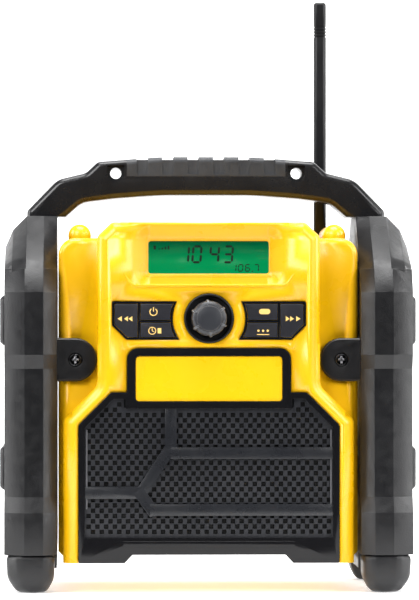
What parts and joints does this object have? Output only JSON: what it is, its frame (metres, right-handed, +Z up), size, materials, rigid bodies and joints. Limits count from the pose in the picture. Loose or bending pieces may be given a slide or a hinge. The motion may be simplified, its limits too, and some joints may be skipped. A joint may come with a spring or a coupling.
{
  "type": "jobsite radio",
  "caption": "Rugged portable jobsite radio in a roll-cage of guards with a carrying handle, grille, display, keys, tuning knob, folding antenna and slide-in battery.",
  "frame": {"origin": "on the ground under the middle of the guards", "axes": "+Z up, +X to the right of someone facing the display, +Y towards the battery at the back"},
  "size_m": [0.268, 0.172, 0.386],
  "materials": {
    "yellow_shell": "moulded, satin gloss",
    "yellow_plate": "smooth",
    "grille_black": "moulded, half gloss",
    "clear_lens": "clear",
    "display_green": "lit green",
    "key_black": "smooth, satin",
    "knob_black": "soft satin",
    "steel": "zinc plated",
    "metal_case": "tinned",
    "board_green": "lacquered board",
    "switch_black": "moulded",
    "aluminium_fins": "milled",
    "cone_paper": "pressed paper",
    "magnet_iron": "ferrite",
    "guard_black": "grained",
    "rubber_black": "soft, grained",
    "antenna_rubber": "smooth",
    "fitting_black": "moulded",
    "release_yellow": "moulded",
    "cell_wrap": "shrink wrap"
  },
  "bodies": {
    "radio": {"antenna_pin": "steel", "antenna_socket": "fitting_black", "aux_box": "fitting_black", "aux_jack": "switch_black", "badge_plate": "yellow_plate", "battery_bay": "fitting_black", "carry_handle": "guard_black", "coin_cell": "metal_case", "control_board": "board_green", "dc_socket": "switch_black", "display_lens": "clear_lens", "display_module": "display_green", "door_pin": "steel", "front_housing": "yellow_shell", "guard_screws": "steel", "handle_grip": "rubber_black", "handle_screws": "steel", "heat_sink": "aluminium_fins", "housing_screws": "steel", "key_switches": "switch_black", "knob_well": "key_black", "left_front_foot": "rubber_black", "left_guard": "guard_black", "left_key_frame": "key_black", "left_rear_foot": "rubber_black", "left_side_pads": "rubber_black", "left_speaker_basket": "metal_case", "left_speaker_cone": "cone_paper", "left_speaker_magnet": "magnet_iron", "main_board": "board_green", "rear_housing": "yellow_shell", "right_front_foot": "rubber_black", "right_guard": "guard_black", "right_key_frame": "key_black", "right_rear_foot": "rubber_black", "right_side_pads": "rubber_black", "right_speaker_basket": "metal_case", "right_speaker_cone": "cone_paper", "right_speaker_magnet": "magnet_iron", "rotary_encoder": "metal_case", "speaker_grille": "grille_black", "speaker_screws": "steel", "terminal_block": "steel", "tuner_shield": "metal_case"},
    "knob": {"volume_knob": "knob_black", "knob_shaft": "steel"},
    "seek_back_key": {"seek_back_button": "key_black"},
    "power_key": {"power_button": "key_black"},
    "clock_key": {"clock_button": "key_black"},
    "mode_key": {"mode_button": "key_black"},
    "preset_key": {"preset_button": "key_black"},
    "seek_forward_key": {"seek_forward_button": "key_black"},
    "antenna": {"antenna_whip": "antenna_rubber"},
    "battery": {"battery_case": "fitting_black", "battery_cells": "cell_wrap"},
    "release_button": {"battery_release": "release_yellow"},
    "door": {"aux_door": "fitting_black"},
    "latch": {"door_latch": "fitting_black"},
    "socket_cap": {"dc_cap": "rubber_black"},
    "coin_cover": {"coin_cell_cover": "fitting_black"}
  },
  "joints": [
    {"name": "knob_turn", "type": "hinge", "parent": "radio", "child": "knob", "pos_m": [0, -0.08, 0.1752], "axis": [0, -1, 0], "continuous": true},
    {"name": "seek_back_key_press", "type": "slide", "parent": "radio", "child": "seek_back_key", "axis": [0, 1, 0], "range_m": [0, 0.001], "stiffness_N_per_m": 300},
    {"name": "power_key_press", "type": "slide", "parent": "radio", "child": "power_key", "axis": [0, 1, 0], "range_m": [0, 0.001], "stiffness_N_per_m": 300},
    {"name": "clock_key_press", "type": "slide", "parent": "radio", "child": "clock_key", "axis": [0, 1, 0], "range_m": [0, 0.001], "stiffness_N_per_m": 300},
    {"name": "mode_key_press", "type": "slide", "parent": "radio", "child": "mode_key", "axis": [0, 1, 0], "range_m": [0, 0.001], "stiffness_N_per_m": 300},
    {"name": "preset_key_press", "type": "slide", "parent": "radio", "child": "preset_key", "axis": [0, 1, 0], "range_m": [0, 0.001], "stiffness_N_per_m": 300},
    {"name": "seek_forward_key_press", "type": "slide", "parent": "radio", "child": "seek_forward_key", "axis": [0, 1, 0], "range_m": [0, 0.001], "stiffness_N_per_m": 300},
    {"name": "antenna_fold", "type": "hinge", "parent": "radio", "child": "antenna", "pos_m": [0.077, 0.026, 0.222], "axis": [0, -1, 0], "range_deg": [0, 90]},
    {"name": "battery_slide", "type": "slide", "parent": "radio", "child": "battery", "axis": [0, 0, 1], "range_m": [0, 0.118]},
    {"name": "battery_release_press", "type": "slide", "parent": "battery", "child": "release_button", "axis": [0, -1, 0], "range_m": [0, 0.003], "stiffness_N_per_m": 300},
    {"name": "door_open", "type": "hinge", "parent": "radio", "child": "door", "pos_m": [0, 0.0619, 0.027], "axis": [-1, 0, 0], "range_deg": [0, 100]},
    {"name": "latch_slide", "type": "slide", "parent": "door", "child": "latch", "axis": [0, 0, -1], "range_m": [0, 0.0035], "stiffness_N_per_m": 300},
    {"name": "socket_cap_open", "type": "hinge", "parent": "radio", "child": "socket_cap", "pos_m": [-0.0565, 0.061, 0.161], "axis": [1, 0, 0], "range_deg": [0, 120]},
    {"name": "coin_cover_turn", "type": "hinge", "parent": "radio", "child": "coin_cover", "pos_m": [0.0565, 0.058, 0.15], "axis": [0, 1, 0], "range_deg": [0, 45]}
  ]
}
